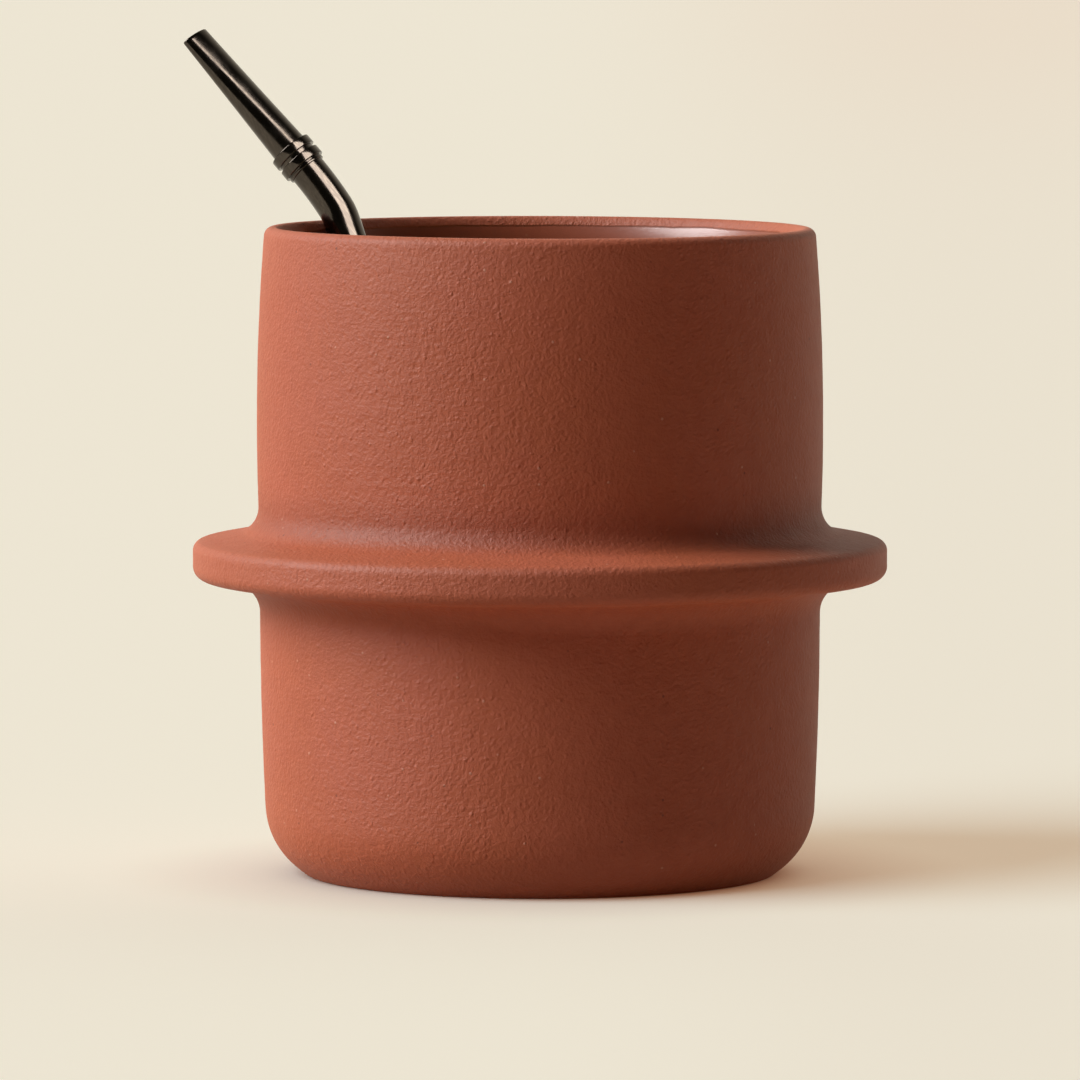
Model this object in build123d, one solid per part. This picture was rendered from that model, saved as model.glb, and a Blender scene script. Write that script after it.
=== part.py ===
from build123d import *
import os
from math import cos, pi, radians, sin

# Mate in a thrown clay cup, with a bent metal straw leaning on its rim.
# The origin is the centre of the cup's foot, on the table. Z is up, the straw leans
# towards -X and +Y, and every length is in millimetres.

# Cup: a bellied wall with a solid ring of clay round its waist
CUP_HEIGHT = 93.6
FOOT_RADIUS = 33.9
HEEL_HEIGHT = 4.2           # where the slope up from the foot would meet the wall
HEEL_ROUNDING = 11.5
FOOT_EDGE_ROUNDING = 0.8
LOWER_BELLY = (40.5, 39.5)  # largest radius of the lower wall, and its height
LOWER_CURVE = 613.0         # radius of the lower wall's outward curve
UPPER_BELLY = (40.9, 65.0)
UPPER_CURVE = 347.0
RING_RADIUS = 50.2
RING_UNDER = 41.9           # height at which the ring's underside leaves the wall
RING_OVER = 49.9            # height at which the ring's top leaves the wall
RING_UNDER_SLOPE = 0.107    # rise outwards, per millimetre
RING_OVER_SLOPE = 0.187     # fall outwards, per millimetre
RING_UNDER_FILLET = 4.4
RING_OVER_FILLET = 3.9
RING_LOW_EDGE = 1.9
RING_HIGH_EDGE = 1.4
LIP_CREST = 1.35            # from the outer wall to where the inside starts to fall away
LIP_OUTER_ROUNDING = 1.25
FLARE_WIDTH = 1.9           # the inside opens to the crest on a quarter of an oval
FLARE_DEPTH = 6.0
BORE_MIDDLE = (37.3, 60.0)  # radius of the inside half way up, and that height
BORE_LOW = (36.0, 5.5)      # radius of the inside wall at the floor, and the floor's height
FLOOR_ROUNDING = 9.0

# Drink: wet leaf that slopes from a heap on one side to a pool on the straw's side
DRINK_LEVEL = 80.4
HEAP_DIRECTION = -34.0      # degrees about Z from +X towards the heap
LEAF_LOW = 74.0
LEAF_HIGH = 85.4
LEAF_SLOPE_START = -27.0    # along the heap direction, from the cup's axis
LEAF_SLOPE_END = 24.0
LEAF_WAVE = 0.45
LEAF_WAVE_LENGTH = 21.0
LEAF_GRID = 11
LEAF_REACH = 42.0           # half width of the square that the leaf's surface is drawn on

# Straw: all in one leaning plane, its foot on the cup's floor
STRAW_FOOT = (2.4, 0.05, 6.0)
STRAW_TURN = -6.8           # the plane's turn about Z from the XZ plane
STRAW_LEAN_BACK = 9.8       # the plane's lean away from the vertical
TUBE_ANGLE = 20.6           # in the plane, from its own upright
MOUTH_ANGLE = 41.2
TUBE_RADIUS = 2.68
TUBE_WALL = 0.45
TUBE_START = 19.0           # along the tube from its foot
STRAIGHT_END = 95.25
TIGHT_BEND_RADIUS = 9.0     # just above the cup's rim
TIGHT_BEND_TURN = 13.4
EASY_BEND_RADIUS = 55.0     # from there to the collar

# Collar, counted along the straw from the top end of the tube
BEAD_LENGTH = 0.42
BEAD_RADIUS = 2.95
NICK_LENGTH = 0.2
NICK_RADIUS = 2.8
RING_LENGTH = 1.4
STRAW_RING_RADIUS = 3.32
NECK_LENGTH = 0.62
NECK_RADIUS = 2.88
STRAW_RING_EDGE = 0.12

# Mouthpiece: round at the collar, pressed to an oval at the lips
MOUTH_LENGTH = 22.2
MOUTH_RADIUS = 2.72
MOUTH_TIP = (2.34, 1.22)    # half the oval's width and thickness
MOUTH_TURN = -47.0          # the oval's turn about the straw's own axis
MOUTH_TIP_ROUNDING = 0.2

# Strainer: a closed bulb with rows of holes, buried in the leaf
BULB_RADIUS = 4.6
BULB_WALL = 0.6
BULB_TOP = 24.0             # along the tube from its foot
SLEEVE_TOP = 29.0
BULB_BOTTOM = 0.15
HOLE_RADIUS = 0.5
HOLE_ROWS = 5
HOLES_PER_ROW = 10
FIRST_HOLE_ROW = 8.0
LAST_HOLE_ROW = 19.0


def wall_radius(belly, curve, height):
    """Radius of a wall that curves out to its belly."""
    offset = height - belly[1]
    return belly[0] - (curve - (curve**2 - offset**2) ** 0.5)


def wall_arc(belly, curve, low, high):
    """The wall's curve between two heights."""
    heights = (low, (low + high) / 2, high)
    return ThreePointArc(*[(wall_radius(belly, curve, height), height) for height in heights])


def round_corner(outline, corner, radius):
    """Fillet the corner of a flat outline that lies nearest to a point."""
    nearest = min(outline.vertices(), key=lambda vertex: (Vector(vertex) - Vector(*corner)).length)
    return fillet(nearest, radius)


def bore_points():
    """The inside wall's top under the flare, its middle and its foot, as radius and height."""
    outside = wall_radius(UPPER_BELLY, UPPER_CURVE, CUP_HEIGHT)
    top = (outside - LIP_CREST - FLARE_WIDTH, CUP_HEIGHT - FLARE_DEPTH)
    return top, BORE_MIDDLE, BORE_LOW


def make_cup():
    """The clay cup, turned from its outline."""
    heel = (wall_radius(LOWER_BELLY, LOWER_CURVE, HEEL_HEIGHT), HEEL_HEIGHT)
    under_root = (wall_radius(LOWER_BELLY, LOWER_CURVE, RING_UNDER), RING_UNDER)
    over_root = (wall_radius(UPPER_BELLY, UPPER_CURVE, RING_OVER), RING_OVER)
    ring_low = (RING_RADIUS, RING_UNDER + RING_UNDER_SLOPE * (RING_RADIUS - under_root[0]))
    ring_high = (RING_RADIUS, RING_OVER - RING_OVER_SLOPE * (RING_RADIUS - over_root[0]))
    lip_outer = (wall_radius(UPPER_BELLY, UPPER_CURVE, CUP_HEIGHT), CUP_HEIGHT)
    bore_top, bore_middle, bore_low = bore_points()
    crest = (lip_outer[0] - LIP_CREST, CUP_HEIGHT)
    flare_middle = (crest[0], bore_top[1])
    edges = Polyline((0, 0), (FOOT_RADIUS, 0), heel)
    edges += wall_arc(LOWER_BELLY, LOWER_CURVE, HEEL_HEIGHT, RING_UNDER)
    edges += Polyline(under_root, ring_low, ring_high, over_root)
    edges += wall_arc(UPPER_BELLY, UPPER_CURVE, RING_OVER, CUP_HEIGHT)
    edges += Line(lip_outer, crest)
    edges += EllipticalCenterArc(flare_middle, FLARE_WIDTH, FLARE_DEPTH, 90, arc_size=90)
    edges += ThreePointArc(bore_top, bore_middle, bore_low)
    edges += Polyline(bore_low, (0, bore_low[1]), (0, 0))
    outline = make_face(edges)
    roundings = (
        ((FOOT_RADIUS, 0), FOOT_EDGE_ROUNDING),
        (heel, HEEL_ROUNDING),
        (under_root, RING_UNDER_FILLET),
        (ring_low, RING_LOW_EDGE),
        (ring_high, RING_HIGH_EDGE),
        (over_root, RING_OVER_FILLET),
        (lip_outer, LIP_OUTER_ROUNDING),
        (bore_low, FLOOR_ROUNDING),
    )
    for corner, radius in roundings:
        outline = round_corner(outline, corner, radius)
    return revolve(Plane.XZ * outline, Axis.Z)


def make_bore():
    """The room inside the cup, from its floor to above its lip."""
    top, middle, low = bore_points()
    edges = ThreePointArc(top, middle, low)
    edges += Polyline(low, (0, low[1]), (0, top[1]), top)
    outline = round_corner(make_face(edges), low, FLOOR_ROUNDING)
    return revolve(Plane.XZ * outline, Axis.Z)


def leaf_height(x, y):
    """Height of the wet leaf at a place in the cup."""
    along = x * cos(radians(HEAP_DIRECTION)) + y * sin(radians(HEAP_DIRECTION))
    across = y * cos(radians(HEAP_DIRECTION)) - x * sin(radians(HEAP_DIRECTION))
    share = (along - LEAF_SLOPE_START) / (LEAF_SLOPE_END - LEAF_SLOPE_START)
    share = min(max(share, 0.0), 1.0)
    smooth = share * share * (3 - 2 * share)
    turn = 2 * pi / LEAF_WAVE_LENGTH
    wave = LEAF_WAVE * (sin(along * turn + 1.0) + cos(across * turn * 0.8))
    return LEAF_LOW + (LEAF_HIGH - LEAF_LOW) * smooth + wave


def make_leaf(bore, straw):
    """The leaf in the cup, up to its sloping surface and cut round the straw."""
    step = 2 * LEAF_REACH / (LEAF_GRID - 1)
    places = [-LEAF_REACH + step * index for index in range(LEAF_GRID)]
    points = [[Vector(x, y, leaf_height(x, y)) for y in places] for x in places]
    surface = Face.make_surface_from_array_of_points(points)
    below = extrude(surface, amount=CUP_HEIGHT, dir=(0, 0, -1))
    return (bore & below) - straw


def make_pool(bore, leaf, straw):
    """The infusion that stands above the low side of the leaf."""
    below_level = Pos(0, 0, DRINK_LEVEL / 2) * Box(100, 100, DRINK_LEVEL)
    pools = (bore & below_level) - leaf - straw
    return max(pools.solids(), key=lambda solid: solid.volume)


def straw_plane():
    """The plane that the straw is bent in: X runs level, Y runs up it."""
    level = Vector(1, 0, 0).rotate(Axis.Z, STRAW_TURN)
    upright = Vector(0, 0, 1).rotate(Axis((0, 0, 0), level), -STRAW_LEAN_BACK)
    return Plane(origin=STRAW_FOOT, x_dir=level, z_dir=level.cross(upright))


def tube_foot_plane():
    """A plane across the straight part of the tube, at its foot."""
    angle = radians(TUBE_ANGLE)
    frame = straw_plane()
    direction = frame.from_local_coords(Vector(-sin(angle), cos(angle), 0)) - frame.origin
    return Plane(origin=frame.origin, x_dir=frame.z_dir, z_dir=direction)


def tube_path():
    """Centre line of the tube: straight, a tight bend at the rim, then an easy one."""
    angle = radians(TUBE_ANGLE)
    heading = Vector(-sin(angle), cos(angle))
    straight = Line(heading * TUBE_START, heading * STRAIGHT_END)
    tight = JernArc(straight @ 1, straight % 1, TIGHT_BEND_RADIUS, TIGHT_BEND_TURN)
    easy_turn = MOUTH_ANGLE - TUBE_ANGLE - TIGHT_BEND_TURN
    easy = JernArc(tight @ 1, tight % 1, EASY_BEND_RADIUS, easy_turn)
    return straw_plane() * (straight + tight + easy)


def make_rod(path, radius):
    """A round rod along the tube's centre line."""
    return sweep(Plane(origin=path @ 0, z_dir=path % 0) * Circle(radius), path)


def collar_plane(path):
    """The plane across the tube's top end, where the collar starts."""
    return Plane(origin=path @ 1, x_dir=straw_plane().z_dir, z_dir=path % 1)


def make_disc(start, length, radius, bore, edge=0.0):
    """A ring of metal from a height up the collar, with its outer edges eased."""
    ring = Pos(0, 0, start + length / 2) * Cylinder(radius, length)
    if edge:
        ring = chamfer(ring.edges().filter_by(GeomType.CIRCLE), edge)
    return ring - Pos(0, 0, start + length / 2) * Cylinder(bore, length * 2)


def make_collar(place):
    """The ferrule on the tube's end: a thin bead, a nick, a ring and a neck."""
    bore = TUBE_RADIUS - TUBE_WALL
    bead = make_disc(0, BEAD_LENGTH, BEAD_RADIUS, bore, STRAW_RING_EDGE)
    nick = make_disc(BEAD_LENGTH, NICK_LENGTH, NICK_RADIUS, bore)
    ring_start = BEAD_LENGTH + NICK_LENGTH
    ring = make_disc(ring_start, RING_LENGTH, STRAW_RING_RADIUS, bore, STRAW_RING_EDGE)
    neck = make_disc(ring_start + RING_LENGTH, NECK_LENGTH, NECK_RADIUS, bore)
    return place * (bead + nick + ring + neck)


def oval_section(height, half_width, half_thickness):
    """An oval across the mouthpiece, turned as its pressed tip is."""
    return Pos(0, 0, height) * Rot(0, 0, MOUTH_TURN) * Ellipse(half_width, half_thickness)


def mouth_body(inset):
    """The mouthpiece's taper from round to oval, drawn in by a wall's thickness."""
    nearly_round = MOUTH_RADIUS * 1.001
    base = oval_section(0, nearly_round - inset, MOUTH_RADIUS - inset)
    tip = oval_section(MOUTH_LENGTH, MOUTH_TIP[0] - inset, MOUTH_TIP[1] - inset)
    return loft([base, tip])


def make_mouthpiece(place):
    """The mouthpiece, turned with its own ring at the lower end."""
    ring = make_disc(0, RING_LENGTH, STRAW_RING_RADIUS, TUBE_RADIUS - TUBE_WALL, STRAW_RING_EDGE)
    body = mouth_body(0)
    body = fillet(body.edges().sort_by(Axis.Z)[-1], MOUTH_TIP_ROUNDING)
    body -= mouth_body(TUBE_WALL)
    start = BEAD_LENGTH + NICK_LENGTH + RING_LENGTH + NECK_LENGTH
    return place * Pos(0, 0, start) * (ring + Pos(0, 0, RING_LENGTH) * body)


def bulb_outline(inset):
    """Half the strainer's outline, drawn in by a wall's thickness."""
    radius = BULB_RADIUS - inset
    bottom = BULB_BOTTOM + inset
    neck = TUBE_RADIUS + BULB_WALL - inset
    round_end = radius * 0.9
    edges = Polyline((0, bottom), (radius - round_end, bottom))
    edges += Line((radius, bottom + round_end), (radius, BULB_TOP - radius))
    edges += RadiusArc((radius - round_end, bottom), (radius, bottom + round_end), -round_end)
    shoulder = (neck, BULB_TOP)
    edges += Line((radius, BULB_TOP - radius), shoulder)
    edges += Polyline(shoulder, (neck, SLEEVE_TOP), (0, SLEEVE_TOP), (0, bottom))
    return make_face(edges)


def make_strainer():
    """The perforated bulb, its sleeve pushed over the tube."""
    outer = revolve(Plane.XZ * bulb_outline(0), Axis.Z)
    inner = revolve(Plane.XZ * bulb_outline(BULB_WALL), Axis.Z)
    shell = outer - inner
    spacing = (LAST_HOLE_ROW - FIRST_HOLE_ROW) / (HOLE_ROWS - 1)
    drill = Rot(0, 90, 0) * Cylinder(HOLE_RADIUS, 2 * BULB_WALL + 1)
    holes = []
    for row in range(HOLE_ROWS):
        for hole in range(HOLES_PER_ROW):
            turn = (hole + 0.5 * (row % 2)) * 360 / HOLES_PER_ROW
            height = FIRST_HOLE_ROW + spacing * row
            holes.append(Rot(0, 0, turn) * Pos(BULB_RADIUS - BULB_WALL / 2, 0, height) * drill)
    return tube_foot_plane() * (shell - holes), tube_foot_plane() * outer


path = tube_path()
collar_place = collar_plane(path)
strainer, bulb = make_strainer()
rod = make_rod(path, TUBE_RADIUS)
hull_of_straw = rod + bulb
bore = make_bore()
leaf = make_leaf(bore, hull_of_straw)

nodes = {
    "cup": make_cup(),
    "yerba_leaf": leaf,
    "infusion": make_pool(bore, leaf, hull_of_straw),
    "straw_tube": rod - make_rod(path, TUBE_RADIUS - TUBE_WALL),
    "straw_collar": make_collar(collar_place),
    "straw_mouthpiece": make_mouthpiece(collar_place),
    "straw_strainer": strainer,
}

os.makedirs("parts", exist_ok=True)
for name, shape in nodes.items():
    export_step(shape, f"parts/{name}.step")
    print(name, round(shape.volume, 1), shape.is_valid)
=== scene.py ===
import math

import bpy
import numpy as np
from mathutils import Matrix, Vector


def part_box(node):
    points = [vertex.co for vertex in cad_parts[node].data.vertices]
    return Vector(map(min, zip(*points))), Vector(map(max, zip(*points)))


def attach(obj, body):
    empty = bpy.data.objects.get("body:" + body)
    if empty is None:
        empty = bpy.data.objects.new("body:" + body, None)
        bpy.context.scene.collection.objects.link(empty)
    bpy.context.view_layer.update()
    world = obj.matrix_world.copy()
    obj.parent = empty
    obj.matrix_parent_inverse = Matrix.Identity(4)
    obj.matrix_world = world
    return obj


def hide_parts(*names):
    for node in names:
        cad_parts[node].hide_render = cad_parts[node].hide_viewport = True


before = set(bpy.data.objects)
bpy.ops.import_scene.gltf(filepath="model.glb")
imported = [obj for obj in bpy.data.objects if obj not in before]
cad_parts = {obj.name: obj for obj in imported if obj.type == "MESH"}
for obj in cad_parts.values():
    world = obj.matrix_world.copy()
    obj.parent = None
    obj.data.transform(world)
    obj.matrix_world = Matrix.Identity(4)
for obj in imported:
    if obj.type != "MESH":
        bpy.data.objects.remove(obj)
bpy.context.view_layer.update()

MM = 0.001

# ---- The cup ------------------------------------------------------------------------------
# A cup thrown on the wheel in red gritty clay, with a solid ring of clay left round its waist
# and its heel turned round. Outside it is bare fired clay; inside, from just under the lip
# down, it wears a thin clear glaze. It is one piece of clay, so it is one turned mesh.

CUP_LOW, CUP_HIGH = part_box("cup")
CUP_HEIGHT = (CUP_HIGH.z - CUP_LOW.z) / MM
RING_RADIUS = (CUP_HIGH.x - CUP_LOW.x) / 2 / MM
FOOT_RADIUS = 33.9
HEEL_HEIGHT = 4.2
LOWER_BELLY = (40.5, 39.5)   # largest radius of the lower wall, and its height
LOWER_CURVE = 613.0
UPPER_BELLY = (40.9, 65.0)
UPPER_CURVE = 347.0
RING_UNDER = 41.9            # height at which the ring's underside leaves the wall
RING_OVER = 49.9
RING_UNDER_SLOPE = 0.107
RING_OVER_SLOPE = 0.187
LIP_CREST = 1.35             # from the outer wall to where the inside starts to fall away
FLARE_WIDTH = 1.9            # the inside opens to the crest on a quarter of an oval
FLARE_DEPTH = 6.0
BORE_MIDDLE = (37.3, 60.0)   # radius of the inside half way up, and that height
BORE_LOW = (36.0, 5.5)       # radius of the inside at the floor, and the floor's height
HIDDEN_BELOW = 70.0          # height under which the leaf hides the inside
TURNING_STEPS = 300          # steps round the cup
DRAWN = 400                  # points on each stretch of the outline before it is thinned
CLOSEST = 0.01               # points of the outline nearer than this are one
THROWING_PITCH = 3.4         # height of one throwing line
INSIDE_RADIUS = 38.55        # clay is inside where it is nearer the axis than this,
INSIDE_CONE = 27.0           # nearer than its own height plus this,
INSIDE_FLOOR = 3.0           # and higher than this
GLAZE_EDGE = 1.3             # the glaze ends this far under the crest
SEAM = 2e-6                  # metres; points nearer than this are joined round the cup


def wall_radius(belly, curve, height):
    """Radius of a wall that curves out to its belly."""
    offset = height - belly[1]
    return belly[0] - (curve - (curve**2 - offset**2) ** 0.5)


def wall(belly, curve, low, high):
    """The points of a curved wall from one height to another."""
    heights = np.linspace(low, high, DRAWN)
    return np.array([(wall_radius(belly, curve, height), height) for height in heights])


def straight(start, end):
    """The points of a straight stretch of the outline."""
    share = np.linspace(0, 1, DRAWN)[:, None]
    return np.array(start) * (1 - share) + np.array(end) * share


CREST_RADIUS = wall_radius(UPPER_BELLY, UPPER_CURVE, CUP_HEIGHT) - LIP_CREST
BORE_TOP = (CREST_RADIUS - FLARE_WIDTH, CUP_HEIGHT - FLARE_DEPTH)


def bore_radius(height):
    """Radius of the cup's inside, on the curve through its top, middle and foot."""
    known = (BORE_TOP, BORE_MIDDLE, BORE_LOW)
    factors = np.polyfit([z for _, z in known], [r for r, _ in known], 2)
    return float(np.polyval(factors, height))


def flare():
    """The points of the inside's quarter oval, from the crest down to the bore."""
    angles = np.linspace(0, math.pi / 2, DRAWN)
    radii = BORE_TOP[0] + FLARE_WIDTH * (1 - np.sin(angles))
    return np.column_stack([radii, BORE_TOP[1] + FLARE_DEPTH * np.cos(angles)])


def inner_wall(high, low):
    """The points of the inside, from the lip down."""
    return np.array([(bore_radius(height), height) for height in np.linspace(high, low, DRAWN)])


def thinned(points, spacing):
    """A stretch of outline with its points about a spacing apart."""
    length = np.linalg.norm(np.diff(points, axis=0), axis=1).sum()
    count = max(2, round(length / spacing) + 1)
    return points[np.linspace(0, len(points) - 1, count).round().astype(int)]


def turn_between(before, after, radius, count):
    """The arc that eases one stretch into the next, with the two stretches cut back to it."""
    into = before[-1] - before[-2]
    out = after[1] - after[0]
    into = into / np.linalg.norm(into)
    out = out / np.linalg.norm(out)
    angle = math.acos(np.clip(into @ out, -1, 1))
    corner = before[-1]
    reach = radius * math.tan(angle / 2)
    before = before[np.linalg.norm(before - corner, axis=1) > reach]
    after = after[np.linalg.norm(after - corner, axis=1) > reach]
    handle = 4 / 3 * math.tan(angle / 4) * radius
    a, d = before[-1], after[0]
    b, c = a + into * handle, d - out * handle
    share = np.linspace(0, 1, count + 2)[1:-1, None]
    rest = 1 - share
    arc = a * rest**3 + 3 * b * share * rest**2 + 3 * c * share**2 * rest + d * share**3
    return before, arc, after


def cup_outline():
    """Half the cup's outline, from the middle of its foot round to the middle of its floor."""
    heel = (wall_radius(LOWER_BELLY, LOWER_CURVE, HEEL_HEIGHT), HEEL_HEIGHT)
    under_root = (wall_radius(LOWER_BELLY, LOWER_CURVE, RING_UNDER), RING_UNDER)
    over_root = (wall_radius(UPPER_BELLY, UPPER_CURVE, RING_OVER), RING_OVER)
    ring_low = (RING_RADIUS, RING_UNDER + RING_UNDER_SLOPE * (RING_RADIUS - under_root[0]))
    ring_high = (RING_RADIUS, RING_OVER - RING_OVER_SLOPE * (RING_RADIUS - over_root[0]))
    lip_outer = (wall_radius(UPPER_BELLY, UPPER_CURVE, CUP_HEIGHT), CUP_HEIGHT)
    crest = (CREST_RADIUS, CUP_HEIGHT)
    # each stretch, the spacing of its points, the rounding after it and that rounding's points
    stretches = (
        (straight((0, 0), (FOOT_RADIUS, 0)), 3.0, 0.8, 5),
        (straight((FOOT_RADIUS, 0), heel), 0.6, 11.5, 18),
        (wall(LOWER_BELLY, LOWER_CURVE, HEEL_HEIGHT, RING_UNDER), 0.55, 4.4, 11),
        (straight(under_root, ring_low), 0.6, 1.9, 9),
        (straight(ring_low, ring_high), 0.45, 1.4, 9),
        (straight(ring_high, over_root), 0.6, 3.9, 11),
        (wall(UPPER_BELLY, UPPER_CURVE, RING_OVER, CUP_HEIGHT), 0.55, 1.25, 10),
        (straight(lip_outer, crest), 0.1, 0.0, 0),
        (flare(), 0.3, 0.0, 0),
        (inner_wall(BORE_TOP[1], HIDDEN_BELOW), 0.8, 0.0, 0),
        (inner_wall(HIDDEN_BELOW, BORE_LOW[1]), 3.0, 9.0, 8),
        (straight(BORE_LOW, (0, BORE_LOW[1])), 3.0, 0.0, 0),
    )
    lines = [stretch[0] for stretch in stretches]
    outline = []
    for index, (_, spacing, rounding, count) in enumerate(stretches):
        arc = np.zeros((0, 2))
        if rounding:
            lines[index], arc, lines[index + 1] = turn_between(
                lines[index], lines[index + 1], rounding, count
            )
        outline += [*thinned(lines[index], spacing), *arc]
    kept = [outline[0]]
    for point in outline[1:]:
        if np.linalg.norm(point - kept[-1]) > CLOSEST:
            kept.append(point)
    return np.array(kept) * MM


class Flow:
    """One output socket of a node tree. Sums written on it become Math nodes."""

    def __init__(self, net, socket):
        self.net = net
        self.socket = socket

    def out(self, name):
        """Another output of the same node."""
        return Flow(self.net, self.socket.node.outputs[name])

    def sum(self, operation, first, second=0.0):
        """A Math node on two terms, or a Vector Math node where one of them is a vector."""
        terms = [first, second]
        vector = any(isinstance(t, Flow) and t.socket.type == "VECTOR" for t in terms)
        if vector:
            terms = [(t, t, t) if isinstance(t, (int, float)) else t for t in terms]
        kind = "ShaderNodeVectorMath" if vector else "ShaderNodeMath"
        return self.net.add(kind, {"operation": operation}, dict(enumerate(terms)))

    def __add__(self, other):
        return self.sum("ADD", self, other)

    def __sub__(self, other):
        return self.sum("SUBTRACT", self, other)

    def __mul__(self, other):
        return self.sum("MULTIPLY", self, other)

    def __truediv__(self, other):
        return self.sum("DIVIDE", self, other)

    def __pow__(self, other):
        return self.sum("POWER", self, other)

    def __mod__(self, other):
        return self.sum("FLOORED_MODULO", self, other)

    def __gt__(self, other):
        return self.sum("GREATER_THAN", self, other)

    def __lt__(self, other):
        return self.sum("LESS_THAN", self, other)

    def larger(self, other):
        return self.sum("MAXIMUM", self, other)

    def __radd__(self, other):
        return self.sum("ADD", other, self)

    def __rsub__(self, other):
        return self.sum("SUBTRACT", other, self)

    def __rmul__(self, other):
        return self.sum("MULTIPLY", other, self)

    def __rtruediv__(self, other):
        return self.sum("DIVIDE", other, self)

    def cos(self):
        return self.sum("COSINE", self)

    def sin(self):
        return self.sum("SINE", self)

    def floor(self):
        return self.sum("FLOOR", self)


class Net:
    """The node tree of a material, a world or a modifier, and the one way to add nodes to it."""

    def __init__(self, tree):
        self.tree = tree
        tree.nodes.clear()

    def add(self, kind, settings=None, sockets=None):
        """Adds a node, sets it up, fills or links its sockets and gives its first output."""
        node = self.tree.nodes.new(kind)
        for name, value in (settings or {}).items():
            setattr(node, name, value)
        for name, value in (sockets or {}).items():
            if isinstance(value, Flow):
                self.tree.links.new(value.socket, node.inputs[name])
            else:
                node.inputs[name].default_value = value
        return Flow(self, node.outputs[0]) if node.outputs else node

    def place(self):
        """Object coordinates."""
        return self.add("ShaderNodeTexCoord").out("Object")

    def split(self, vector):
        """A vector's X; its Y and Z are the same node's other outputs."""
        return self.add("ShaderNodeSeparateXYZ", {}, {"Vector": vector})

    def join(self, x, y, z):
        """A vector from its three parts."""
        return self.add("ShaderNodeCombineXYZ", {}, {"X": x, "Y": y, "Z": z})

    def blend(self, factor, first, second):
        """A colour between two others."""
        return self.add(
            "ShaderNodeMix", {"data_type": "RGBA"}, {0: factor, 6: first, 7: second}
        ).out(2)

    def step(self, value, low, high):
        """0 below low, 1 above high, and a smooth rise between."""
        return self.add(
            "ShaderNodeMapRange",
            {"interpolation_type": "SMOOTHSTEP"},
            {"Value": value, "From Min": low, "From Max": high},
        )

    def noise(self, place, scale, detail=2.0, roughness=0.5):
        """Soft noise about 0.5, with blobs 1/scale metres across."""
        return self.add(
            "ShaderNodeTexNoise",
            {},
            {"Vector": place, "Scale": scale, "Detail": detail, "Roughness": roughness},
        )

    def cells(self, place, scale):
        """Distance from the middle of each of a field of cells 1/scale metres across."""
        return self.add("ShaderNodeTexVoronoi", {}, {"Vector": place, "Scale": scale})

    def kind(self, cell):
        """A random value for each cell."""
        return self.add("ShaderNodeSeparateColor", {}, {"Color": cell.out("Color")})

    def bump(self, height):
        """The normal of a surface in relief, from its height in metres."""
        return self.add("ShaderNodeBump", {}, {"Height": height, "Distance": 1.0})

    def surface(self, sockets):
        """Ends a material's tree in its surface."""
        skin = self.add("ShaderNodeBsdfPrincipled", {}, sockets)
        self.add("ShaderNodeOutputMaterial", {}, {"Surface": skin})


def start_material(name):
    """A new material and its empty tree."""
    material = bpy.data.materials.new(name)
    material.use_nodes = True
    return material, Net(material.node_tree)


def shade(red, green, blue):
    """A colour from its 0 to 255 values on a screen."""
    def linear(value):
        value = value / 255
        return value / 12.92 if value <= 0.04045 else ((value + 0.055) / 1.055) ** 2.4
    return (linear(red), linear(green), linear(blue), 1.0)


class Inputs:
    """The named inputs of a Geometry Nodes tree, with the values that its modifier gives them."""

    def __init__(self, name):
        self.group = bpy.data.node_groups.new(name, "GeometryNodeTree")
        self.net = Net(self.group)
        for way in ("INPUT", "OUTPUT"):
            self.group.interface.new_socket(
                "Geometry", in_out=way, socket_type="NodeSocketGeometry"
            )
        self.values = {}

    def number(self, name, value, kind="NodeSocketFloat"):
        """Adds an input and keeps the value that it is given."""
        made = self.group.interface.new_socket(name, in_out="INPUT", socket_type=kind)
        self.values[made.identifier] = value

    def open(self):
        """The flow of the incoming geometry; its other outputs are the named inputs."""
        return self.net.add("NodeGroupInput")

    def close(self, geometry, material):
        """Ends the tree in real geometry with its material."""
        net = self.net
        real = net.add("GeometryNodeRealizeInstances", {}, {"Geometry": geometry})
        done = net.add("GeometryNodeSetMaterial", {}, {"Geometry": real, "Material": material})
        net.add("NodeGroupOutput", {}, {"Geometry": done})

    def grow(self, piece):
        """Runs the tree on a piece and leaves its result as the piece's own plain mesh."""
        modifier = piece.modifiers.new("grow", "NODES")
        modifier.node_group = self.group
        for identifier, value in self.values.items():
            modifier[identifier] = value
        graph = bpy.context.evaluated_depsgraph_get()
        mesh = bpy.data.meshes.new_from_object(piece.evaluated_get(graph))
        piece.modifiers.clear()
        piece.data = mesh
        return piece


def make_piece(name, points, edges=(), faces=()):
    """A new object at the origin from plain points, edges and faces."""
    mesh = bpy.data.meshes.new(name)
    mesh.from_pydata([tuple(point) for point in points], list(edges), list(faces))
    mesh.update()
    piece = bpy.data.objects.new(name, mesh)
    bpy.context.scene.collection.objects.link(piece)
    return piece


def turned_outwards(piece):
    """Makes sure that a closed mesh's faces look outwards, by the sign of its volume."""
    mesh = piece.data
    mesh.calc_loop_triangles()
    co = np.array([v.co for v in mesh.vertices])
    corners = np.array([t.vertices for t in mesh.loop_triangles])
    a, b, c = co[corners[:, 0]], co[corners[:, 1]], co[corners[:, 2]]
    if (np.cross(a, b) * c).sum() < 0:
        mesh.flip_normals()
    return piece


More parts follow.
